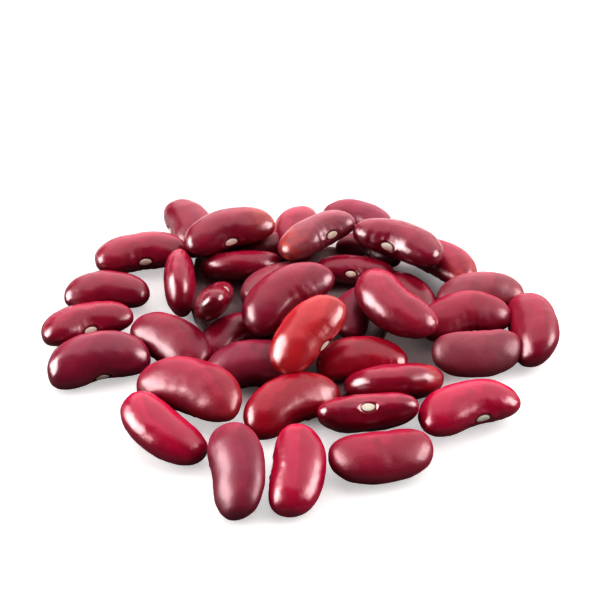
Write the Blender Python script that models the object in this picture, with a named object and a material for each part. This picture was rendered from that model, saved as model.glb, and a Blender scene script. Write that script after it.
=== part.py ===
"""A heap of dried red kidney beans, poured out on a flat surface and lying about two beans deep.

The heap is one solid. A thin core lies hidden under the beans and holds them together. Each bean is a
kidney form at its true size, set down where it lies in the heap, and all of them are fused to the core
and to each other. The underside is cut flat, so every bean of the lowest layer stands on a small flat.

Metres, +Z up. The origin is on the surface, below the middle of the heap's box. The beans at -Y are the
near ones.
"""

import math

import bmesh
import bpy
from mathutils import Matrix, Vector

MM = 0.001

# Driving sizes of one bean, for a length of 1, and the bend of its long axis
WIDTH_SHARE = 0.54
THICKNESS_SHARE = 0.37
BEND_SHARE = 0.088
EYE_HOLLOW_SHARE = 0.047
EYE_HOLLOW_REACH = 0.18
BLUNTNESS = 2.45

# Sides of a bean: round its waist and from end to end
SIDES_ROUND = 12
SIDES_ALONG = 8

# The lowest layer is pressed this far into the surface before the underside is cut flat
FLAT_DEPTH = 0.15 * MM

# The hidden core: its height, and how far its outline is drawn in from the outer beans' middles
CORE_HEIGHT = 2.2 * MM
CORE_SHARE = 0.93

# The heap's box is centred on the origin by this shift
CENTRE_SHIFT = Vector((0.1, 4.4, 0.0)) * MM

# Each bean: x, y and the lift of its lowest point, in mm; then in degrees its heading, its roll (the
# side with the eye turned up) and its tip (the leading end raised); its length in mm, and its bend,
# where 1 is a plain kidney form.
BEANS = {
    # the back edge
    "back_1": (-20.5, 27.5, 0.0, -72, -4, 0, 15.8, 0.7),
    "back_2": (-0.5, 26.0, 0.0, 84, -10, 0, 15.0, 1.0),
    "back_3": (11.0, 31.0, 0.0, -24, 0, 0, 13.6, 1.0),
    "back_4": (25.8, 17.3, 0.0, -47, 0, 4, 15.0, 1.0),
    # the fan on the left
    "left_1": (-29.0, 19.5, 0.0, 12, 6, 0, 16.8, 1.0),
    "left_2": (-34.2, 9.0, 0.0, 2, -2, 0, 15.2, 1.0),
    "left_3": (-37.0, 0.0, 0.0, 22, 14, 0, 16.2, 1.0),
    "left_4": (-34.0, -9.5, 0.0, 17, -24, 0, 17.3, 1.0),
    "left_5": (-21.3, 11.0, 0.0, 94, -85, 0, 15.2, 0.9),
    "left_6": (-21.8, -4.9, 0.0, -42, -12, 0, 16.6, 0.5),
    # the front edge
    "front_1": (-17.8, -17.7, 0.5, -27, -16, 5, 18.8, 0.9),
    "front_2": (-22.2, -26.4, 0.0, 138, -6, 10, 16.6, 0.6),
    "front_3": (-10.0, -36.0, 0.0, -82, -24, -13, 17.0, 0.5),
    "front_4": (-0.5, -35.7, 0.0, -96, 0, -13, 16.3, 0.6),
    "front_5": (-1.6, -20.2, 0.0, 33, -22, 0, 17.2, 1.0),
    "front_6": (10.9, -23.5, 0.0, 7, 58, 0, 16.4, 1.0),
    "front_7": (12.8, -32.1, 0.0, 190, 12, 0, 16.8, 0.45),
    "front_8": (15.8, -15.5, 0.0, 187, -45, 0, 16.8, 0.9),
    "front_9": (27.3, -21.0, 0.0, 21, 0, 0, 17.4, 1.0),
    # the fan on the right
    "right_1": (31.5, 8.2, 0.0, 14, -8, 0, 15.8, 1.0),
    "right_2": (28.5, 1.0, 0.8, 13, -14, 0, 16.4, 1.0),
    "right_3": (39.8, -1.5, 0.0, -87, -30, 0, 16.8, 0.6),
    "right_4": (30.0, -7.7, 0.0, 187, 28, 0, 15.4, 0.45),
    # the lowest layer in the middle, seen between the beans on top
    "middle_1": (-10.5, 16.0, 0.0, 184, -40, 0, 15.0, 1.0),
    "middle_2": (-6.5, 21.5, 0.0, 20, -30, 0, 12.0, 1.0),
    "middle_3": (-3.8, 10.8, 0.0, 30, 0, 0, 15.5, 1.0),
    "middle_4": (10.0, 14.5, 0.0, -8, 25, 0, 14.4, 1.0),
    "middle_5": (19.3, 7.8, 0.0, -60, 0, 0, 14.0, 1.0),
    "middle_6": (-11.6, -2.4, 0.0, 38, 0, 0, 14.0, 1.0),
    "middle_7": (-8.0, -11.0, 0.0, 5, -25, 0, 16.2, 1.0),
    "middle_8": (10.2, -9.0, 0.0, 8, -10, 0, 15.4, 1.0),
    # the beans that the top layer rests on
    "under_1": (-12.5, 25.0, 0.0, -65, 0, 0, 13.0, 1.0),
    "under_2": (-0.5, 1.0, 0.0, -55, 20, 0, 16.0, 1.0),
    "under_3": (9.6, 3.8, 0.0, 75, 0, 0, 13.0, 1.0),
    "under_4": (12.8, 21.5, 0.0, -20, 0, 0, 12.4, 1.0),
    # the top layer
    "top_1": (-13.0, 20.7, 4.1, 21, 2, 3, 17.0, 1.0),
    "top_2": (2.6, 19.7, 4.0, 35, 17, 6, 15.4, 1.0),
    "top_3": (18.0, 17.6, 4.0, -31, 12, 0, 17.0, 1.0),
    "top_4": (-14.8, 2.2, 1.6, 84, 48, -32, 14.0, 0.8),
    "top_5": (-2.5, 1.0, 4.4, 38, -6, 12, 18.0, 1.0),
    "top_6": (1.0, -9.5, 4.7, 50, -8, 20, 16.4, 0.5),
    "top_7": (16.2, 0.3, 3.7, 130, 3, 5, 17.4, 0.8),
}

# The outer beans in turn, which the core's outline follows
RIM = (
    "left_1", "back_1", "back_2", "back_3", "back_4", "right_1", "right_3", "front_9",
    "front_7", "front_4", "front_3", "front_2", "front_1", "left_4", "left_3", "left_2",
)

SKIN_COLOUR = (0.26, 0.022, 0.035, 1.0)
SKIN_ROUGHNESS = 0.32


def clear_scene():
    for thing in list(bpy.data.objects):
        bpy.data.objects.remove(thing)


def bean_skin():
    """The glossy dark red of a dried kidney bean."""
    material = bpy.data.materials.new("bean_skin")
    material.use_nodes = True
    shader = material.node_tree.nodes["Principled BSDF"]
    shader.inputs["Base Color"].default_value = SKIN_COLOUR
    shader.inputs["Roughness"].default_value = SKIN_ROUGHNESS
    shader.inputs["Metallic"].default_value = 0.0
    return material


def kidney_point(point, length, bend):
    """Moves a point of the unit sphere onto a bean that lies along X with its eye towards -Y."""
    along = max(-1.0, min(1.0, point.x))
    waist = math.hypot(point.y, point.z)
    across = point.y / waist if waist > 1e-6 else 0.0
    upward = point.z / waist if waist > 1e-6 else 0.0
    radius = (1.0 - abs(along) ** BLUNTNESS) ** (1.0 / BLUNTNESS)
    x = 0.5 * length * along
    y = 0.5 * WIDTH_SHARE * length * radius * across
    z = 0.5 * THICKNESS_SHARE * length * radius * upward
    eye_side = max(0.0, -across) ** 1.5
    hollow = math.exp(-((0.5 * along / EYE_HOLLOW_REACH) ** 2))
    y += EYE_HOLLOW_SHARE * bend * length * hollow * eye_side
    y -= BEND_SHARE * bend * length * (along ** 2 - 0.3)
    return Vector((x, y, z))


def bean_turn(heading, roll, tip):
    """The turn of a bean: rolled about its length, then tipped, then headed round."""
    return (
        Matrix.Rotation(math.radians(heading), 3, "Z")
        @ Matrix.Rotation(-math.radians(tip), 3, "Y")
        @ Matrix.Rotation(-math.radians(roll), 3, "X")
    )


def make_bean(name, row, collection):
    """One bean at its place, as a closed mesh object in the collection."""
    x, y, lift, heading, roll, tip, length, bend = row
    turn = bean_turn(heading, roll, tip)
    shape = bmesh.new()
    bmesh.ops.create_uvsphere(
        shape,
        u_segments=SIDES_ROUND,
        v_segments=SIDES_ALONG,
        radius=1.0,
        matrix=Matrix.Rotation(math.radians(90), 4, "Y"),
    )
    for vertex in shape.verts:
        vertex.co = turn @ kidney_point(vertex.co, length * MM, bend)
    lowest = min(vertex.co.z for vertex in shape.verts)
    rise = lift * MM - lowest - FLAT_DEPTH
    bmesh.ops.translate(shape, verts=shape.verts, vec=Vector((x * MM, y * MM, rise)) + CENTRE_SHIFT)
    bmesh.ops.recalc_face_normals(shape, faces=shape.faces)
    mesh = bpy.data.meshes.new(name)
    shape.to_mesh(mesh)
    shape.free()
    bean = bpy.data.objects.new(name, mesh)
    collection.objects.link(bean)
    return bean


def make_core():
    """The low plate under the beans. Its outline runs inside the middles of the outer beans."""
    shape = bmesh.new()
    base = -FLAT_DEPTH
    corners = []
    for name in RIM:
        x, y = BEANS[name][:2]
        place = Vector((x * MM * CORE_SHARE, y * MM * CORE_SHARE, base)) + CENTRE_SHIFT
        corners.append(shape.verts.new(place))
    face = shape.faces.new(corners)
    pushed = bmesh.ops.extrude_face_region(shape, geom=[face])
    raised = [part for part in pushed["geom"] if isinstance(part, bmesh.types.BMVert)]
    bmesh.ops.translate(shape, verts=raised, vec=(0.0, 0.0, CORE_HEIGHT + FLAT_DEPTH))
    bmesh.ops.recalc_face_normals(shape, faces=shape.faces)
    mesh = bpy.data.meshes.new("bean_heap")
    shape.to_mesh(mesh)
    shape.free()
    core = bpy.data.objects.new("bean_heap", mesh)
    bpy.context.scene.collection.objects.link(core)
    return core


def apply_modifiers(thing):
    """Puts the evaluated mesh in place of the plain one, and clears the modifiers."""
    bpy.context.view_layer.update()
    graph = bpy.context.evaluated_depsgraph_get()
    mesh = bpy.data.meshes.new_from_object(thing.evaluated_get(graph))
    thing.modifiers.clear()
    thing.data = mesh


def fuse(core, collection):
    """Joins the core and every bean of the collection into one body."""
    union = core.modifiers.new("fuse", "BOOLEAN")
    union.operation = "UNION"
    union.operand_type = "COLLECTION"
    union.collection = collection
    union.solver = "EXACT"
    apply_modifiers(core)
    for bean in list(collection.objects):
        bpy.data.objects.remove(bean)
    bpy.data.collections.remove(collection)


def cut_underside(heap):
    """Cuts away what lies below the surface, so that the heap rests on flats."""
    shape = bmesh.new()
    bmesh.ops.create_cube(shape, size=1.0)
    bmesh.ops.scale(shape, verts=shape.verts, vec=(0.2, 0.2, 0.01))
    bmesh.ops.translate(shape, verts=shape.verts, vec=(0.0, 0.0, -0.005))
    mesh = bpy.data.meshes.new("ground")
    shape.to_mesh(mesh)
    shape.free()
    ground = bpy.data.objects.new("ground", mesh)
    bpy.context.scene.collection.objects.link(ground)
    cut = heap.modifiers.new("cut", "BOOLEAN")
    cut.operation = "DIFFERENCE"
    cut.object = ground
    cut.solver = "EXACT"
    apply_modifiers(heap)
    bpy.data.objects.remove(ground)


def shell_of(start, seen):
    """All faces reached from one face over its edges."""
    shell = [start]
    seen.add(start)
    for face in shell:
        for edge in face.edges:
            for other in edge.link_faces:
                if other not in seen:
                    seen.add(other)
                    shell.append(other)
    return shell


def keep_outer_shell(heap):
    """Fills sealed hollows and drops loose scraps by keeping only the largest shell."""
    shape = bmesh.new()
    shape.from_mesh(heap.data)
    bmesh.ops.triangulate(shape, faces=shape.faces)
    bmesh.ops.dissolve_degenerate(shape, dist=1e-7, edges=shape.edges)
    bmesh.ops.triangulate(shape, faces=shape.faces)
    seen = set()
    shells = [shell_of(face, seen) for face in shape.faces if face not in seen]
    shells.sort(key=len, reverse=True)
    spare = [face for shell in shells[1:] for face in shell]
    bmesh.ops.delete(shape, geom=spare, context="FACES")
    shape.to_mesh(heap.data)
    shape.free()


def build():
    clear_scene()
    collection = bpy.data.collections.new("beans")
    bpy.context.scene.collection.children.link(collection)
    for name, row in BEANS.items():
        make_bean(name, row, collection)
    heap = make_core()
    fuse(heap, collection)
    cut_underside(heap)
    keep_outer_shell(heap)
    heap.data.shade_smooth()
    heap.data.set_sharp_from_angle(angle=math.radians(50))
    heap.data.materials.clear()
    heap.data.materials.append(bean_skin())
    return heap


build()
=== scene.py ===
import math

import bmesh
import bpy
from mathutils import Matrix, Vector, noise


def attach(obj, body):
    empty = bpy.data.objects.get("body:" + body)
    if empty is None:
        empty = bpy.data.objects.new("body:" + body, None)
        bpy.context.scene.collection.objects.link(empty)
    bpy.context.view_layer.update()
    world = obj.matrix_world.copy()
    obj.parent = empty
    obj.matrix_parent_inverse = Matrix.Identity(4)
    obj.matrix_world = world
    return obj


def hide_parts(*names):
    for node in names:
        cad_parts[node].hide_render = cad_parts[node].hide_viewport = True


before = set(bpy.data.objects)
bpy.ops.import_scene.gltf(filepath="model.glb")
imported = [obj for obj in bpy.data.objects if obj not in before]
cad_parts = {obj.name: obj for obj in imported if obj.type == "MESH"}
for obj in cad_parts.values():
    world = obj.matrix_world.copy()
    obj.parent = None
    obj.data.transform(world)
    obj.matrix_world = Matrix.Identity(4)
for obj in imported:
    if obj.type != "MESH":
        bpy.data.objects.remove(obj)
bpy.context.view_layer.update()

mm = 0.001
scene = bpy.context.scene

# The view: looking down on the heap from its near side
cameraView = {
    "aim": (0.0001, 0.0144, 0.0),
    "elevation": 40.0,
    "distance": 0.300,
    "lens": 100.8,
    "sensor": 36.0,
    "clip": (0.01, 20.0),
}


def makeCamera(settings):
    lift = math.radians(settings["elevation"])
    away = Vector((0.0, -math.cos(lift), math.sin(lift))) * settings["distance"]
    data = bpy.data.cameras.new("camera")
    data.lens = settings["lens"]
    data.sensor_width = settings["sensor"]
    data.clip_start, data.clip_end = settings["clip"]
    camera = bpy.data.objects.new("camera", data)
    camera.location = Vector(settings["aim"]) + away
    camera.rotation_euler = (math.radians(90.0) - lift, 0.0, 0.0)
    scene.collection.objects.link(camera)
    scene.camera = camera


makeCamera(cameraView)

# One bean's form, as in the heap's solid; width to eyeReach are shares of its length
beanForm = {
    "width": 0.54,
    "thickness": 0.37,
    "bend": 0.088,
    "eyeHollow": 0.047,
    "eyeReach": 0.18,
    "bluntness": 2.45,
    "hollowFade": 1.5,        # how fast the eye's hollow fades round the side
    "bendLevel": 0.3,         # keeps a bent bean about its own middle
    "sidesRound": 48,
    "sidesAlong": 44,
    "finerEyeSide": 0.25,     # faces are this much narrower on the side with the eye
    "finerMiddle": 0.12,      # and closer together halfway along
    "finePatch": (0.6, 0.36, 0.52),   # on the unit sphere: edges this near the eye are cut in two
    "restSides": (48, 32),    # of the plain form by which a bean's lowest point is found
    "standardLength": 17.0,   # mm; relief and colour patterns are set out on a bean of this length
}

# Relief of the seed coat, in mm on a bean of standard length
coatRelief = {
    "lumps": ((0.24, 0.16), (0.11, 0.42), (0.046, 1.1)),   # height and fineness of each layer
    "eyeSide": (0.1, 0.75),   # where, round the waist, the relief about the eye sets in and is full
    "creaseDepth": 0.15,
    "creaseRate": 4.3,        # radians per mm along the bean
    "creaseReach": 3.4,
    "creaseWander": 2.4,      # radians
    "wanderFineness": Vector((0.35, 0.0, 0.3)),
    "creaseHeights": (0.6, 0.8),  # the mean share of creaseDepth, and how much it varies
    "heightFineness": Vector((0.5, 0.0, 0.0)),
    "heightShift": Vector((0.0, 3.0, 0.0)),   # so that their heights don't follow their wander
    "creaseClear": (1.2, 2.2),    # in eye radii: creases set in and are full
    "rings": ((0.10, 1.45, 0.30), (-0.08, 1.08, 0.20)),   # rim and moat: height; place, reach in eye radii
    "knobHeight": 0.16,
    "knobPlaces": (-2.25, 1.9125),    # along the bean from the eye
    "knobReach": 0.42,
}

# The eye, in mm on a bean of standard length
eyeForm = {
    "halfLength": 1.22,
    "halfHeight": 0.72,
    "stand": 0.12,
    "crown": 1.6,             # its middle stands out this many times as far
    "groove": (0.30, 0.22),   # along its middle: depth and width, as shares of stand and halfHeight
    "sidesRound": 28,
    "sidesAlong": 12,
}

# Each bean: x, y, lift of the lowest point (mm); heading, roll, tip (degrees); length (mm) and bend
beans = {
    "back1": (-20.5, 27.5, 0.0, -72, -4, 0, 15.8, 0.7),
    "back2": (-0.5, 26.0, 0.0, 84, -10, 0, 15.0, 1.0),
    "back3": (11.0, 31.0, 0.0, -24, 0, 0, 13.6, 1.0),
    "back4": (25.8, 17.3, 0.0, -47, 0, 4, 15.0, 1.0),
    "left1": (-29.0, 19.5, 0.0, 12, 6, 0, 16.8, 1.0),
    "left2": (-34.2, 9.0, 0.0, 2, -2, 0, 15.2, 1.0),
    "left3": (-37.0, 0.0, 0.0, 22, 14, 0, 16.2, 1.0),
    "left4": (-34.0, -9.5, 0.0, 17, -24, 0, 17.3, 1.0),
    "left5": (-21.3, 11.0, 0.0, 94, -85, 0, 15.2, 0.9),
    "left6": (-21.8, -4.9, 0.0, -42, -12, 0, 16.6, 0.5),
    "front1": (-17.8, -17.7, 0.5, -27, -16, 5, 18.8, 0.9),
    "front2": (-22.2, -26.4, 0.0, 138, -6, 10, 16.6, 0.6),
    "front3": (-10.0, -36.0, 0.0, -82, -24, -13, 17.0, 0.5),
    "front4": (-0.5, -35.7, 0.0, -96, 0, -13, 16.3, 0.6),
    "front5": (-1.6, -20.2, 0.0, 33, -22, 0, 17.2, 1.0),
    "front6": (10.9, -23.5, 0.0, 7, 58, 0, 16.4, 1.0),
    "front7": (12.8, -32.1, 0.0, 190, 12, 0, 16.8, 0.45),
    "front8": (15.8, -15.5, 0.0, 187, -45, 0, 16.8, 0.9),
    "front9": (27.3, -21.0, 0.0, 21, 0, 0, 17.4, 1.0),
    "right1": (31.5, 8.2, 0.0, 14, -8, 0, 15.8, 1.0),
    "right2": (28.5, 1.0, 0.8, 13, -14, 0, 16.4, 1.0),
    "right3": (39.8, -1.5, 0.0, -87, -30, 0, 16.8, 0.6),
    "right4": (30.0, -7.7, 0.0, 187, 28, 0, 15.4, 0.45),
    "middle1": (-10.5, 16.0, 0.0, 184, -40, 0, 15.0, 1.0),
    "middle2": (-6.5, 21.5, 0.0, 20, -30, 0, 12.0, 1.0),
    "middle3": (-3.8, 10.8, 0.0, 30, 0, 0, 15.5, 1.0),
    "middle4": (10.0, 14.5, 0.0, -8, 25, 0, 14.4, 1.0),
    "middle5": (19.3, 7.8, 0.0, -60, 0, 0, 14.0, 1.0),
    "middle6": (-11.6, -2.4, 0.0, 38, 0, 0, 14.0, 1.0),
    "middle7": (-8.0, -11.0, 0.0, 5, -25, 0, 16.2, 1.0),
    "middle8": (10.2, -9.0, 0.0, 8, -10, 0, 15.4, 1.0),
    "under1": (-12.5, 25.0, 0.0, -65, 0, 0, 13.0, 1.0),
    "under2": (-0.5, 1.0, 0.0, -55, 20, 0, 16.0, 1.0),
    "under3": (9.6, 3.8, 0.0, 75, 0, 0, 13.0, 1.0),
    "under4": (12.8, 21.5, 0.0, -20, 0, 0, 12.4, 1.0),
    "top1": (-13.0, 20.7, 4.1, 21, 2, 3, 17.0, 1.0),
    "top2": (2.6, 19.7, 4.0, 35, 17, 6, 15.4, 1.0),
    "top3": (18.0, 17.6, 4.0, -31, 12, 0, 17.0, 1.0),
    "top4": (-14.8, 2.2, 1.6, 84, 48, -32, 14.0, 0.8),
    "top5": (-2.5, 1.0, 4.4, 38, -6, 12, 18.0, 1.0),
    "top6": (1.0, -9.5, 4.7, 50, -8, 20, 16.4, 0.5),
    "top7": (16.2, 0.3, 3.7, 130, 3, 5, 17.4, 0.8),
}
heapShift = Vector((0.1, 4.4, 0.0))

# How much of the hollow beside the eye a bean lacks
filledHollows = {"left6": 0.6, "front1": 0.4, "front2": 0.5}

# How far an eye sits towards its bean's underside, in mm
eyeDrops = {
    "back4": 2.1, "left2": 2.0, "left6": 1.6, "front1": 1.8, "front5": 1.4, "right2": 2.0,
    "middle6": 2.2, "middle7": 1.6, "top5": 1.4,
}

# Seed coat colours, linear
coatColours = {
    "maroon": (0.160, 0.0026, 0.0220),
    "wine": (0.205, 0.0036, 0.0270),
    "deep": (0.270, 0.0024, 0.0200),
    "crimson": (0.370, 0.0036, 0.0460),
    "scarlet": (0.425, 0.0210, 0.0300),
    "rose": (0.250, 0.0090, 0.0370),
    "dusky": (0.185, 0.0120, 0.0380),
    "ashen": (0.215, 0.0400, 0.0620),
    "dark": (0.130, 0.0026, 0.0160),
}

# Each bean's looks: coat colour, dullness, crease strength and where along the bean (mm), taper
# towards its leading end, how far its eye sits off the middle (mm), and a warm tint at one end
beanLooks = {
    "back1": ("maroon", 0.2, 0.0, 0.0, 0.00, 0.0, 0.0),
    "back2": ("rose", 0.4, 0.0, 0.0, 0.00, 0.0, 0.0),
    "back3": ("dusky", 0.5, 0.0, 0.0, 0.00, 0.0, 0.0),
    "back4": ("rose", 0.5, 0.0, 0.0, 0.00, 0.0, 0.5),
    "left1": ("wine", 0.2, 0.4, 0.0, 0.00, 0.5, 0.0),
    "left2": ("maroon", 0.1, 0.2, 0.0, -0.03, 0.0, 0.0),
    "left3": ("wine", 0.3, 0.2, 2.0, -0.03, 0.0, 0.0),
    "left4": ("dusky", 0.1, 0.3, 0.0, -0.04, 0.0, 0.0),
    "left5": ("rose", 0.1, 0.0, 0.0, -0.04, 0.0, 0.3),
    "left6": ("maroon", 0.6, 0.2, -2.0, 0.00, 0.0, 0.0),
    "front1": ("rose", 0.6, 0.1, -1.0, 0.00, 0.0, 0.3),
    "front2": ("crimson", 0.1, 0.0, 0.0, 0.05, 0.0, 0.0),
    "front3": ("dusky", 0.8, 0.5, 1.0, -0.06, 0.0, 0.0),
    "front4": ("crimson", 0.1, 0.2, 0.0, 0.05, 0.0, 0.0),
    "front5": ("deep", 0.3, 0.7, 4.0, 0.00, 0.0, 0.2),
    "front6": ("wine", 0.1, 0.4, -6.0, 0.00, -0.2, 0.0),
    "front7": ("rose", 0.6, 0.2, 0.0, 0.00, 0.0, 0.0),
    "front8": ("wine", 0.1, 0.0, 0.0, 0.00, 0.0, -0.4),
    "front9": ("crimson", 0.2, 0.3, 2.6, -0.04, 1.2, 0.0),
    "right1": ("ashen", 0.7, 0.0, 0.0, 0.00, 0.0, 0.3),
    "right2": ("wine", 0.5, 0.7, 0.0, 0.00, 0.0, 0.0),
    "right3": ("wine", 0.4, 0.0, 0.0, 0.00, 0.0, 0.0),
    "right4": ("ashen", 0.9, 0.0, 0.0, 0.00, 0.0, 0.0),
    "middle1": ("wine", 0.35, 0.0, 0.0, 0.00, 0.0, 0.0),
    "middle2": ("dark", 0.4, 0.0, 0.0, 0.00, 0.0, 0.0),
    "middle3": ("ashen", 0.6, 0.0, 0.0, 0.00, 0.0, 0.0),
    "middle4": ("maroon", 0.2, 0.0, 0.0, 0.00, -0.6, 0.0),
    "middle5": ("dark", 0.2, 0.4, 0.0, 0.00, 0.0, 0.0),
    "middle6": ("wine", 0.3, 0.0, 0.0, 0.00, 0.0, 0.0),
    "middle7": ("dusky", 0.6, 0.0, 0.0, 0.00, 0.0, 0.0),
    "middle8": ("deep", 0.2, 1.0, 5.0, 0.00, 0.0, 0.0),
    "under1": ("maroon", 0.3, 0.0, 0.0, 0.00, 0.0, 0.0),
    "under2": ("dark", 0.3, 0.0, 0.0, 0.00, 0.0, 0.0),
    "under3": ("dusky", 0.9, 0.0, 0.0, 0.00, 0.0, 0.0),
    "under4": ("dark", 0.6, 0.0, 0.0, 0.00, 0.0, 0.0),
    "top1": ("maroon", 0.1, 0.1, 3.0, 0.00, -0.6, 0.6),
    "top2": ("ashen", 0.5, 0.5, -2.6, 0.03, 1.8, -1.0),
    "top3": ("maroon", 0.1, 1.0, -2.6, 0.00, -0.9, 0.0),
    "top4": ("dark", 0.0, 0.6, -4.0, 0.00, 0.0, 0.0),
    "top5": ("maroon", 0.4, 0.6, 3.5, -0.03, 0.0, 0.0),
    "top6": ("scarlet", 0.1, 0.1, 0.0, 0.04, 0.0, 0.4),
    "top7": ("rose", 0.3, 0.2, 0.0, 0.07, 0.0, 0.0),
}
warmEnd = (0.15, 0.95)        # where along a bean its warm tint sets in and is full


def smoothStep(low, high, value):
    share = max(0.0, min(1.0, (value - low) / (high - low)))
    return share * share * (3.0 - 2.0 * share)


def hill(distance, reach):
    return math.exp(-((distance / reach) ** 2))


def kidneyPoint(name, along, across, upward):
    # a point on a bean along X with its eye towards -Y, in mm, from its place on the unit sphere
    length, bend = beans[name][6:]
    taper, eyeShift = beanLooks[name][4:6]
    blunt = beanForm["bluntness"]
    radius = (1.0 - min(1.0, abs(along)) ** blunt) ** (1.0 / blunt) * (1.0 + taper * along)
    x = 0.5 * length * along
    y = 0.5 * beanForm["width"] * length * radius * across
    z = 0.5 * beanForm["thickness"] * length * radius * upward
    hollow = hill((x - eyeShift) / length, beanForm["eyeReach"]) * (1.0 - filledHollows.get(name, 0.0))
    y += beanForm["eyeHollow"] * bend * length * hollow * max(0.0, -across) ** beanForm["hollowFade"]
    y -= beanForm["bend"] * bend * length * (along ** 2 - beanForm["bendLevel"])
    return Vector((x, y, z))


def lumpsAt(place, seed):
    return sum(height * noise.noise(place * fine + seed) for height, fine in coatRelief["lumps"])


def reliefAt(place, across, seed, crease, creaseAt):
    # how far the coat stands out (+) or sinks in (-), in mm; place is measured from the eye
    out = lumpsAt(place, seed)
    eyeSide = smoothStep(*coatRelief["eyeSide"], -across)
    if eyeSide == 0.0:
        return out
    wander = coatRelief["creaseWander"] * noise.noise(place * coatRelief["wanderFineness"] + seed)
    ridges = math.sin(place.x * coatRelief["creaseRate"] + wander)
    mean, change = coatRelief["creaseHeights"]
    shifted = place * coatRelief["heightFineness"] + coatRelief["heightShift"]
    ridges *= mean + change * noise.noise(shifted + seed)
    reach = math.hypot(place.x / eyeForm["halfLength"], place.z / eyeForm["halfHeight"])
    clear = smoothStep(*coatRelief["creaseClear"], reach)
    near = hill(place.x - creaseAt, coatRelief["creaseReach"])
    raised = crease * coatRelief["creaseDepth"] * ridges * clear * near
    for height, ring, width in coatRelief["rings"]:
        raised += height * hill(reach - ring, width)
    for knob in coatRelief["knobPlaces"]:
        gap = math.hypot(place.x - knob, place.z)
        raised += coatRelief["knobHeight"] * hill(gap, coatRelief["knobReach"])
    return out + raised * eyeSide


def beanTurn(heading, roll, tip):
    turn = Matrix.Rotation(math.radians(heading), 3, "Z")
    turn = turn @ Matrix.Rotation(-math.radians(tip), 3, "Y")
    return turn @ Matrix.Rotation(-math.radians(roll), 3, "X")


def unitSphere(sidesRound, sidesAlong, axis):
    shape = bmesh.new()
    turn = Matrix.Rotation(math.radians(90.0), 4, axis)
    bmesh.ops.create_uvsphere(shape, u_segments=sidesRound, v_segments=sidesAlong, radius=1.0, matrix=turn)
    return shape


def sphereAngles(point):
    # 0 to pi from end to end, and the turn round the waist
    return math.acos(max(-1.0, min(1.0, point.x))), math.atan2(point.z, point.y)


def placeOf(name):
    # the turn and the middle of a bean, in mm: its lowest point is at its lift
    x, y, lift, heading, roll, tip = beans[name][:6]
    turn = beanTurn(heading, roll, tip)
    shape = unitSphere(*beanForm["restSides"], "Y")
    lowest = 0.0
    for vertex in shape.verts:
        ends, waist = sphereAngles(vertex.co)
        point = kidneyPoint(name, math.cos(ends), math.cos(waist), math.sin(waist))
        lowest = min(lowest, (turn @ point).z)
    shape.free()
    return turn, Vector((x, y, lift - lowest)) + heapShift


def meshFrom(name, shape):
    mesh = bpy.data.meshes.new(name)
    shape.to_mesh(mesh)
    shape.free()
    return mesh


def beanMesh(name, seed):
    coat, dull, crease, creaseAt, taper, eyeShift, warm = beanLooks[name]
    turn, middle = placeOf(name)
    eye = Vector((eyeShift, 0.0, -eyeDrops.get(name, 0.0)))
    size = beans[name][6] / beanForm["standardLength"]
    shape = unitSphere(beanForm["sidesRound"], beanForm["sidesAlong"], "Y")
    out, wide, high = beanForm["finePatch"]
    nearEye = [
        edge for edge in shape.edges
        if all(end.co.y < -out and abs(end.co.x) < wide and abs(end.co.z) < high for end in edge.verts)
    ]
    bmesh.ops.subdivide_edges(shape, edges=nearEye, cuts=1, use_grid_fill=True)
    bmesh.ops.triangulate(shape, faces=[face for face in shape.faces if len(face.verts) > 4])
    placeLayer = shape.verts.layers.float_vector.new("beanPlace")
    seedLayer = shape.verts.layers.float_vector.new("beanSeed")
    coatLayer = shape.verts.layers.float_color.new("coatColour")
    finishLayer = shape.verts.layers.float_vector.new("coatFinish")
    relief = {}
    for vertex in shape.verts:
        ends, waist = sphereAngles(vertex.co.normalized())
        ends += beanForm["finerMiddle"] * math.sin(2.0 * ends)
        waist += beanForm["finerEyeSide"] * math.sin(waist)
        across = math.cos(waist) * (1.0 if 0.0 < ends < math.pi else 0.0)
        vertex.co = kidneyPoint(name, math.cos(ends), across, math.sin(waist))
        fromEye = (vertex.co - eye) / size
        warmth = smoothStep(*warmEnd, math.cos(ends) * math.copysign(1.0, warm)) * abs(warm)
        vertex[placeLayer] = fromEye
        vertex[seedLayer] = seed
        vertex[coatLayer] = (*coatColours[coat], 1.0)
        vertex[finishLayer] = (dull, warmth, 0.0)
        relief[vertex] = reliefAt(fromEye, across, seed, crease, creaseAt)
    bmesh.ops.recalc_face_normals(shape, faces=shape.faces)
    shape.normal_update()
    moved = {vertex: vertex.co + vertex.normal * relief[vertex] * size for vertex in shape.verts}
    for vertex, place in moved.items():
        vertex.co = (middle + turn @ place) * mm
    return meshFrom(name, shape)


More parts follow.
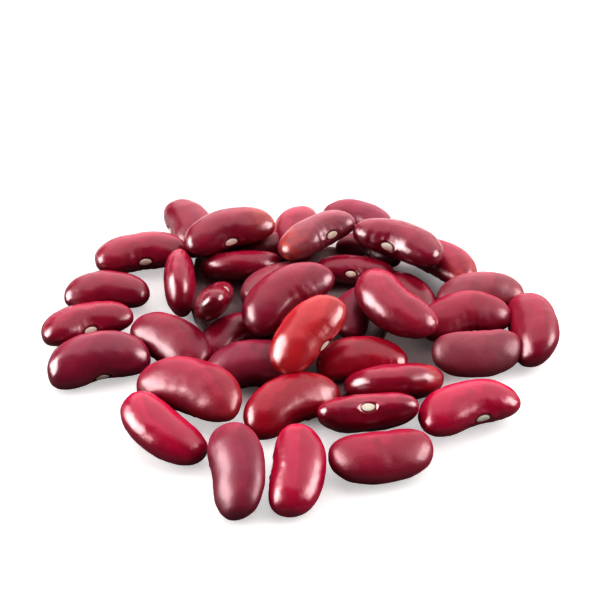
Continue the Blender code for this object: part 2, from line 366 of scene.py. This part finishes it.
def eyeMesh(name, seed):
    # a pale oval pad that follows the bean's hollow side
    length = beans[name][6]
    turn, middle = placeOf(name)
    eye = Vector((beanLooks[name][5], 0.0, -eyeDrops.get(name, 0.0)))
    size = length / beanForm["standardLength"]
    halfThickness = 0.5 * beanForm["thickness"] * length
    grooveDepth, grooveWidth = eyeForm["groove"]
    shape = unitSphere(eyeForm["sidesRound"], eyeForm["sidesAlong"], "X")
    placeLayer = shape.verts.layers.float_vector.new("beanPlace")
    seedLayer = shape.verts.layers.float_vector.new("beanSeed")
    for vertex in shape.verts:
        local = Vector(vertex.co)
        along = (local.x * eyeForm["halfLength"] * size + eye.x) / (0.5 * length)
        waist = math.asin(eye.z / halfThickness) + local.z * eyeForm["halfHeight"] * size / halfThickness
        across, upward = -math.cos(waist), math.sin(waist)
        place = kidneyPoint(name, along, across, upward)
        outward = Vector((0.0, across / beanForm["width"], upward / beanForm["thickness"])).normalized()
        groove = grooveDepth * hill(local.z, grooveWidth) * (1.0 - local.x ** 2) * max(0.0, -local.y)
        lumps = lumpsAt((place - eye) / size, seed)
        place += outward * (lumps - eyeForm["stand"] * (local.y * eyeForm["crown"] + groove)) * size
        vertex[placeLayer] = local
        vertex[seedLayer] = seed
        vertex.co = (middle + turn @ place) * mm
    bmesh.ops.recalc_face_normals(shape, faces=shape.faces)
    return meshFrom(name, shape)


def joinedPiece(name, meshes, material):
    joined = bmesh.new()
    for mesh in meshes:
        joined.from_mesh(mesh)
        bpy.data.meshes.remove(mesh)
    return finishedPiece(name, meshFrom(name, joined), material)


def finishedPiece(name, mesh, material):
    mesh.shade_smooth()
    mesh.materials.append(material)
    piece = bpy.data.objects.new(name, mesh)
    scene.collection.objects.link(piece)
    return piece


def addNode(tree, kind, **values):
    node = tree.nodes.new(kind)
    for key, value in values.items():
        setattr(node, key, value)
    return node


def feed(tree, socket, value):
    # joins a socket to another one, or sets its value
    if isinstance(value, bpy.types.NodeSocket):
        tree.links.new(value, socket)
    else:
        socket.default_value = value


def mathsNode(tree, operation, first, second):
    node = addNode(tree, "ShaderNodeMath", operation=operation)
    feed(tree, node.inputs[0], first)
    feed(tree, node.inputs[1], second)
    return node.outputs[0]


def vectorNode(tree, operation, first, second):
    node = addNode(tree, "ShaderNodeVectorMath", operation=operation)
    feed(tree, node.inputs[0], first)
    feed(tree, node.inputs[1], second)
    return node.outputs


def stretched(tree, vector, factors):
    return vectorNode(tree, "MULTIPLY", vector, factors)["Vector"]


def lengthOf(tree, vector):
    return vectorNode(tree, "DISTANCE", vector, (0.0, 0.0, 0.0))["Value"]


def partsOf(tree, vector):
    node = addNode(tree, "ShaderNodeSeparateXYZ")
    feed(tree, node.inputs[0], vector)
    return node.outputs


def noiseAt(tree, place, scale, detail=2.0, roughness=0.5):
    node = addNode(tree, "ShaderNodeTexNoise")
    feed(tree, node.inputs["Vector"], place)
    feed(tree, node.inputs["Scale"], scale)
    feed(tree, node.inputs["Detail"], detail)
    feed(tree, node.inputs["Roughness"], roughness)
    return node.outputs["Fac"]


def ramp(tree, value, low, high, toLow=0.0, toHigh=1.0):
    node = addNode(tree, "ShaderNodeMapRange", interpolation_type="SMOOTHSTEP")
    feed(tree, node.inputs["Value"], value)
    feed(tree, node.inputs["From Min"], low)
    feed(tree, node.inputs["From Max"], high)
    feed(tree, node.inputs["To Min"], toLow)
    feed(tree, node.inputs["To Max"], toHigh)
    return node.outputs["Result"]


def blended(tree, share, first, second):
    node = addNode(tree, "ShaderNodeMix", data_type="RGBA")
    colours = [socket for socket in node.inputs if socket.type == "RGBA"]
    feed(tree, node.inputs["Factor"], share)
    feed(tree, colours[0], first)
    feed(tree, colours[1], second)
    return next(socket for socket in node.outputs if socket.type == "RGBA")


def readAttribute(tree, name, output="Vector"):
    return addNode(tree, "ShaderNodeAttribute", attribute_name=name).outputs[output]


def objectPlace(tree):
    return addNode(tree, "ShaderNodeTexCoord").outputs["Object"]


def seededPlace(tree, place):
    # moved by the bean's own seed, so that no two beans have the same pattern
    return vectorNode(tree, "ADD", place, readAttribute(tree, "beanSeed"))["Vector"]


def newMaterial(name):
    material = bpy.data.materials.new(name)
    material.use_nodes = True
    return material, material.node_tree, material.node_tree.nodes["Principled BSDF"]


def bumped(tree, shader, height):
    bump = addNode(tree, "ShaderNodeBump")
    bump.inputs["Distance"].default_value = mm
    feed(tree, bump.inputs["Height"], height)
    feed(tree, shader.inputs["Normal"], bump.outputs["Normal"])


# Uneven natural colour: broad patches, lengthwise streaks and fine dark pores. Each noise has its
# fineness, detail and roughness, and each mark the noise levels at which it sets in and is full.
mottleForm = {
    "patchNoise": (0.30, 3.0, 0.5),
    "patchLevels": (0.40, 0.66),
    "streakStretch": (0.16, 1.0, 1.0),
    "streakNoise": (1.7, 4.0, 0.6),
    "streakLevels": (0.42, 0.68),
    "poreNoise": (4.6, 2.0, 0.6),
    "poreLevels": (0.64, 0.76),
    "poreDepth": 0.02,
    "grainNoise": (3.4, 3.0, 0.65),
    "grainHeight": 0.042,
}


def makeMottleGroup(settings):
    tree = bpy.data.node_groups.new("naturalMottle", "ShaderNodeTree")
    sockets = (
        ("Place", "INPUT", "Vector"), ("Colour", "INPUT", "Color"), ("Patch Colour", "INPUT", "Color"),
        ("Pore Colour", "INPUT", "Color"), ("Patches", "INPUT", "Float"), ("Streaks", "INPUT", "Float"),
        ("Pores", "INPUT", "Float"), ("Colour", "OUTPUT", "Color"), ("Spots", "OUTPUT", "Float"),
        ("Height", "OUTPUT", "Float"),
    )
    for name, side, kind in sockets:
        tree.interface.new_socket(name, in_out=side, socket_type="NodeSocket" + kind)
    given = addNode(tree, "NodeGroupInput").outputs
    result = addNode(tree, "NodeGroupOutput").inputs
    place = given["Place"]
    patches = ramp(tree, noiseAt(tree, place, *settings["patchNoise"]), *settings["patchLevels"])
    patches = mathsNode(tree, "MULTIPLY", patches, given["Patches"])
    colour = blended(tree, patches, given["Colour"], given["Patch Colour"])
    alongPlace = stretched(tree, place, settings["streakStretch"])
    streaks = ramp(tree, noiseAt(tree, alongPlace, *settings["streakNoise"]), *settings["streakLevels"])
    streaks = mathsNode(tree, "MULTIPLY", streaks, given["Streaks"])
    colour = blended(tree, streaks, colour, given["Pore Colour"])
    pores = ramp(tree, noiseAt(tree, place, *settings["poreNoise"]), *settings["poreLevels"])
    pores = mathsNode(tree, "MULTIPLY", pores, given["Pores"])
    colour = blended(tree, pores, colour, given["Pore Colour"])
    grain = noiseAt(tree, place, *settings["grainNoise"])
    grain = mathsNode(tree, "MULTIPLY", grain, settings["grainHeight"])
    sunk = mathsNode(tree, "MULTIPLY", pores, settings["poreDepth"])
    feed(tree, result["Colour"], colour)
    feed(tree, result["Spots"], mathsNode(tree, "MAXIMUM", patches, pores))
    feed(tree, result["Height"], mathsNode(tree, "SUBTRACT", grain, sunk))
    return tree


def mottled(tree, group, place, colour, settings):
    # marks that the settings leave out stay at no strength
    node = addNode(tree, "ShaderNodeGroup", node_tree=group)
    feed(tree, node.inputs["Place"], place)
    feed(tree, node.inputs["Colour"], colour)
    marks = {
        "patchColour": "Patch Colour", "poreColour": "Pore Colour",
        "patches": "Patches", "streaks": "Streaks", "pores": "Pores",
    }
    for key, socket in marks.items():
        if key in settings:
            feed(tree, node.inputs[socket], settings[key])
    return node.outputs


coatFinish = {
    "glossy": 0.21,
    "dull": 0.42,
    "specular": 0.60,
    "coat": (0.50, 0.14),             # of a glossy bean and of a dull one
    "coatRoughness": 0.20,
    "patchColour": (0.290, 0.0160, 0.0420, 1.0),
    "poreColour": (0.050, 0.0020, 0.0060, 1.0),
    "warmColour": (0.430, 0.058, 0.040, 1.0),
    "patches": 0.22,
    "streaks": 0.05,
    "pores": 0.40,
    "warmNoise": (0.5, 3.0),
    "warmLevels": (0.3, 0.6),
    "speckColour": (0.48, 0.19, 0.20, 1.0),
    "specks": 0.30,                   # on a dull bean
    "speckNoise": (3.2, 2.0, 0.7),
    "speckLevels": (0.62, 0.74),
    "eyeSide": (-1.6, -0.4),          # mm from the eye's middle in the direction of the hollow
    "ringColour": (0.055, 0.004, 0.008, 1.0),
    "ring": 0.60,                     # dark, round the eye
    "ringEdges": (1.02, 1.42),        # in eye radii, as are the next
    "wrinkleEdges": (1.5, 6.5),
    "wrinkles": 0.06,                 # height in mm, as is the next
    "coarse": 0.036,                  # on a dull bean
    "wrinkleStretch": (2.4, 0.5, 0.6),
    "wrinkleNoise": (1.0, 3.0, 0.55),
    "coarseNoise": (2.8, 4.0, 0.65),
    "spotRoughness": 0.10,            # more on patches and pores
}


def makeCoatMaterial(settings, group):
    material, tree, shader = newMaterial("kidneyBeanCoat")
    local = readAttribute(tree, "beanPlace")
    place = seededPlace(tree, local)
    finish = partsOf(tree, readAttribute(tree, "coatFinish"))
    dull = finish["X"]
    coat = mottled(tree, group, place, readAttribute(tree, "coatColour", "Color"), settings)
    warm = ramp(tree, noiseAt(tree, place, *settings["warmNoise"]), *settings["warmLevels"])
    warm = mathsNode(tree, "MULTIPLY", finish["Y"], warm)
    colour = blended(tree, warm, coat["Colour"], settings["warmColour"])
    specks = noiseAt(tree, place, *settings["speckNoise"])
    specks = ramp(tree, specks, *settings["speckLevels"], 0.0, settings["specks"])
    colour = blended(tree, mathsNode(tree, "MULTIPLY", specks, dull), colour, settings["speckColour"])
    # the dark ring round the eye
    flat = stretched(tree, local, (1.0 / eyeForm["halfLength"], 0.0, 1.0 / eyeForm["halfHeight"]))
    reach = lengthOf(tree, flat)
    eyeSide = ramp(tree, partsOf(tree, local)["Y"], *settings["eyeSide"], 1.0, 0.0)
    ring = ramp(tree, reach, *settings["ringEdges"], settings["ring"], 0.0)
    colour = blended(tree, mathsNode(tree, "MULTIPLY", ring, eyeSide), colour, settings["ringColour"])
    # fine wrinkles across the side with the eye, and a coarser grain on a dull bean
    wrinkles = noiseAt(tree, stretched(tree, place, settings["wrinkleStretch"]), *settings["wrinkleNoise"])
    nearEye = ramp(tree, reach, *settings["wrinkleEdges"], settings["wrinkles"], 0.0)
    nearEye = mathsNode(tree, "MULTIPLY", nearEye, eyeSide)
    height = mathsNode(tree, "ADD", mathsNode(tree, "MULTIPLY", wrinkles, nearEye), coat["Height"])
    coarse = mathsNode(tree, "MULTIPLY", noiseAt(tree, place, *settings["coarseNoise"]), dull)
    height = mathsNode(tree, "ADD", height, mathsNode(tree, "MULTIPLY", coarse, settings["coarse"]))
    bumped(tree, shader, height)
    roughness = ramp(tree, dull, 0.0, 1.0, settings["glossy"], settings["dull"])
    spots = mathsNode(tree, "MULTIPLY", coat["Spots"], settings["spotRoughness"])
    feed(tree, shader.inputs["Base Color"], colour)
    feed(tree, shader.inputs["Roughness"], mathsNode(tree, "ADD", roughness, spots))
    feed(tree, shader.inputs["Coat Weight"], ramp(tree, dull, 0.0, 1.0, *settings["coat"]))
    shader.inputs["Coat Roughness"].default_value = settings["coatRoughness"]
    shader.inputs["Specular IOR Level"].default_value = settings["specular"]
    return material


eyeFinish = {
    "colour": (0.93, 0.88, 0.76, 1.0),
    "patchColour": (0.68, 0.52, 0.32, 1.0),
    "poreColour": (0.30, 0.17, 0.09, 1.0),
    "patches": 0.45,
    "streaks": 0.10,
    "pores": 0.25,
    "fineness": (2.0, 2.0, 2.0),
    "rimColour": (0.34, 0.15, 0.09, 1.0),
    "rimEdges": (0.84, 1.0),          # as shares of the eye's radius
    "roughness": 0.60,
}


def makeEyeMaterial(settings, group):
    material, tree, shader = newMaterial("beanEye")
    local = readAttribute(tree, "beanPlace")
    place = seededPlace(tree, stretched(tree, local, settings["fineness"]))
    pad = mottled(tree, group, place, settings["colour"], settings)
    edge = ramp(tree, lengthOf(tree, stretched(tree, local, (1.0, 0.0, 1.0))), *settings["rimEdges"])
    feed(tree, shader.inputs["Base Color"], blended(tree, edge, pad["Colour"], settings["rimColour"]))
    bumped(tree, shader, pad["Height"])
    shader.inputs["Roughness"].default_value = settings["roughness"]
    return material


# The low dark core under the middle of the heap, in mm: it rises from a thin rim over a slope to a
# lumpy top
coreForm = {
    "height": 1.9,
    "rimHeight": 0.3,
    "slope": 3.0,             # width of the slope
    "lumps": 0.9,
    "fineness": 0.22,         # of the lumps
    "cuts": 5,
    "rim": (
        (-20.0, 10.0), (-19.0, 19.0), (-13.0, 24.0), (-4.0, 24.0), (6.0, 23.0), (12.0, 20.0),
        (15.0, 12.0), (16.5, 5.0), (13.8, -3.0), (13.0, -10.0), (12.0, -16.0), (1.0, -19.0),
        (-8.0, -12.0), (-15.0, -3.0), (-18.5, 4.0),
    ),
}
# Painted shade: the core's dark brown, with its patches and pores, stands for the deep shadow seen in the
# gaps between the beans
coreFinish = {
    "colour": (0.160, 0.080, 0.076, 1.0),
    "patchColour": (0.090, 0.038, 0.036, 1.0),
    "poreColour": (0.040, 0.018, 0.018, 1.0),
    "patches": 0.8,
    "pores": 0.5,
    "fineness": (400.0, 400.0, 400.0),
    # Painted shade: the core's low rim takes the colour of the painted shade on the table, fading into the
    # dark brown as the core rises
    "rimColour": (0.50, 0.40, 0.41, 1.0),
    "fade": (0.0004, 0.0017),     # heights, in metres, between which the rim's colour ends
    "roughness": 0.85,
}


def makeCoreMaterial(settings, group):
    material, tree, shader = newMaterial("heapShade")
    place = objectPlace(tree)
    # the dark brown painted shade of the core
    shade = mottled(tree, group, stretched(tree, place, settings["fineness"]), settings["colour"], settings)
    # painted shade: low down the rim takes the table's painted shade colour
    raised = ramp(tree, partsOf(tree, place)["Z"], *settings["fade"])
    feed(tree, shader.inputs["Base Color"], blended(tree, raised, settings["rimColour"], shade["Colour"]))
    bumped(tree, shader, shade["Height"])
    shader.inputs["Roughness"].default_value = settings["roughness"]
    return material


def makeCore(settings, material):
    shape = bmesh.new()
    corners = [shape.verts.new((*corner, 0.0)) for corner in settings["rim"]]
    bottom = shape.faces.new(corners)
    raised = bmesh.ops.extrude_face_region(shape, geom=[bottom])["geom"]
    top = [part for part in raised if isinstance(part, bmesh.types.BMVert)]
    bmesh.ops.translate(shape, verts=top, vec=(0.0, 0.0, settings["height"]))
    flat = [part for part in raised if isinstance(part, bmesh.types.BMFace)]
    bmesh.ops.inset_region(shape, faces=flat, thickness=settings["slope"], depth=0.0)
    bmesh.ops.translate(shape, verts=top, vec=(0.0, 0.0, settings["rimHeight"] - settings["height"]))
    bmesh.ops.triangulate(shape, faces=shape.faces)
    bmesh.ops.subdivide_edges(shape, edges=shape.edges, cuts=settings["cuts"], use_grid_fill=True)
    for vertex in shape.verts:
        if vertex.co.z > 0.0:
            vertex.co.z += settings["lumps"] * noise.noise(vertex.co * settings["fineness"])
    bmesh.ops.recalc_face_normals(shape, faces=shape.faces)
    bmesh.ops.translate(shape, verts=shape.verts, vec=heapShift)
    bmesh.ops.scale(shape, verts=shape.verts, vec=(mm, mm, mm))
    return finishedPiece("heapCore", meshFrom("heapCore", shape), material)


print("making the beans")
mottle = makeMottleGroup(mottleForm)
seeds = {name: Vector((13.7 * turn, 5.3 * turn + 2.0, 9.1 * turn)) for turn, name in enumerate(beans)}
kidneyBeans = joinedPiece(
    "kidneyBeans", [beanMesh(name, seeds[name]) for name in beans], makeCoatMaterial(coatFinish, mottle),
)
triangles = sum(len(face.vertices) - 2 for face in kidneyBeans.data.polygons)
print("beans:", len(beans), "triangles:", triangles)

print("making the eyes and the core")
beanEyes = joinedPiece(
    "beanEyes", [eyeMesh(name, seeds[name]) for name in beans], makeEyeMaterial(eyeFinish, mottle),
)
heapCore = makeCore(coreForm, makeCoreMaterial(coreFinish, mottle))

for piece in (kidneyBeans, beanEyes, heapCore):
    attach(piece, "root")
    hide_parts("bean_heap")

print("making the floor and the light")
floorFinish = {
    "colour": (0.90, 0.895, 0.885, 1.0),
    "patchColour": (0.88, 0.875, 0.87, 1.0),
    "patches": 1.0,
    "fineness": (50.0, 50.0, 50.0),
    "bounceColour": (0.26, 0.25, 0.25, 1.0),
    "farBounceColour": (0.95, 0.93, 0.92, 1.0),
    "farSide": (0.015, 0.045),                   # y, in metres, between which the second takes over
    # Painted shade: the table is greyer and pinker under the middle of the heap
    "shadeColour": (0.50, 0.40, 0.41, 1.0),      # under the middle of the heap
    # Painted light: the table glows for the camera only, which lightens the shadows cast on it; it glows
    # less under the middle of the heap, as painted shade
    "glow": (0.04, 0.37),                        # there and clear of the heap
    "middle": (0.005, 0.0065, 0.0),
    "reach": (0.018, 0.030),                     # from the middle, where the shade starts to end and ends
    "roughness": 0.6,
    "halfSide": 3.0,
}


def makeFloor(settings, group):
    shape = bmesh.new()
    bmesh.ops.create_grid(shape, x_segments=4, y_segments=4, size=settings["halfSide"])
    material, tree, shader = newMaterial("whiteTable")
    place = objectPlace(tree)
    white = mottled(tree, group, stretched(tree, place, settings["fineness"]), settings["colour"], settings)
    # the table throws back less light onto the beans than the camera sees on it, least from the front
    behind = ramp(tree, partsOf(tree, place)["Y"], *settings["farSide"])
    bounce = blended(tree, behind, settings["bounceColour"], settings["farBounceColour"])
    seen = addNode(tree, "ShaderNodeLightPath").outputs["Is Camera Ray"]
    # painted shade: under the middle of the heap the camera sees the table in the shade colour
    offset = vectorNode(tree, "DISTANCE", place, settings["middle"])["Value"]
    clear = ramp(tree, offset, *settings["reach"])
    table = blended(tree, clear, settings["shadeColour"], white["Colour"])
    feed(tree, shader.inputs["Base Color"], blended(tree, seen, bounce, table))
    shader.inputs["Emission Color"].default_value = (1.0, 1.0, 1.0, 1.0)
    # painted light: a glow seen only by the camera, weaker under the heap
    glow = ramp(tree, clear, 0.0, 1.0, *settings["glow"])
    feed(tree, shader.inputs["Emission Strength"], mathsNode(tree, "MULTIPLY", seen, glow))
    shader.inputs["Roughness"].default_value = settings["roughness"]
    shader.inputs["Specular IOR Level"].default_value = 0.0
    finishedPiece("floor", meshFrom("floor", shape), material)


lightColour = (1.0, 0.98, 0.965)

# Each light: where it stands, its width and height in metres, its radiance as the gloss on the
# beans mirrors it, and its radiance for all the rest
studioLights = {
    "overhead": {"place": (0.22, 0.74, 0.88), "size": (2.4, 2.3), "mirrored": 1.12, "spread": 4.9},
    "leftBox": {"place": (-1.04, -0.02, 0.54), "size": (1.00, 0.86), "mirrored": 11.0, "spread": 3.8},
    "rightBox": {"place": (1.04, -0.02, 0.54), "size": (0.84, 0.74), "mirrored": 8.0, "spread": 4.2},
}


def makeLight(name, settings, kind):
    data = bpy.data.lights.new(name + kind.capitalize(), "AREA")
    data.shape = "RECTANGLE"
    data.size, data.size_y = settings["size"]
    # an area light's power is its radiance times its area times pi
    data.energy = settings[kind] * data.size * data.size_y * math.pi
    data.color = lightColour
    light = bpy.data.objects.new(data.name, data)
    light.location = settings["place"]
    towards = Vector(cameraView["aim"]) - light.location
    light.rotation_euler = towards.to_track_quat("-Z", "Y").to_euler()
    light.visible_glossy = kind == "mirrored"
    light.visible_diffuse = kind == "spread"
    scene.collection.objects.link(light)


roomLight = {"ambient": 0.06, "background": 1.2}


def makeWorld(settings):
    # the camera sees a white room, while the beans get only a faint fill from it
    world = bpy.data.worlds.new("room")
    world.use_nodes = True
    tree = world.node_tree
    fill = tree.nodes["Background"]
    fill.inputs["Color"].default_value = (1.0, 1.0, 1.0, 1.0)
    seen = addNode(tree, "ShaderNodeLightPath").outputs["Is Camera Ray"]
    strength = ramp(tree, seen, 0.0, 1.0, settings["ambient"], settings["background"])
    feed(tree, fill.inputs["Strength"], strength)
    scene.world = world


makeFloor(floorFinish, mottle)
for name, settings in studioLights.items():
    makeLight(name, settings, "mirrored")
    makeLight(name, settings, "spread")
makeWorld(roomLight)
scene.view_settings.view_transform = "Standard"
scene.view_settings.look = "High Contrast"
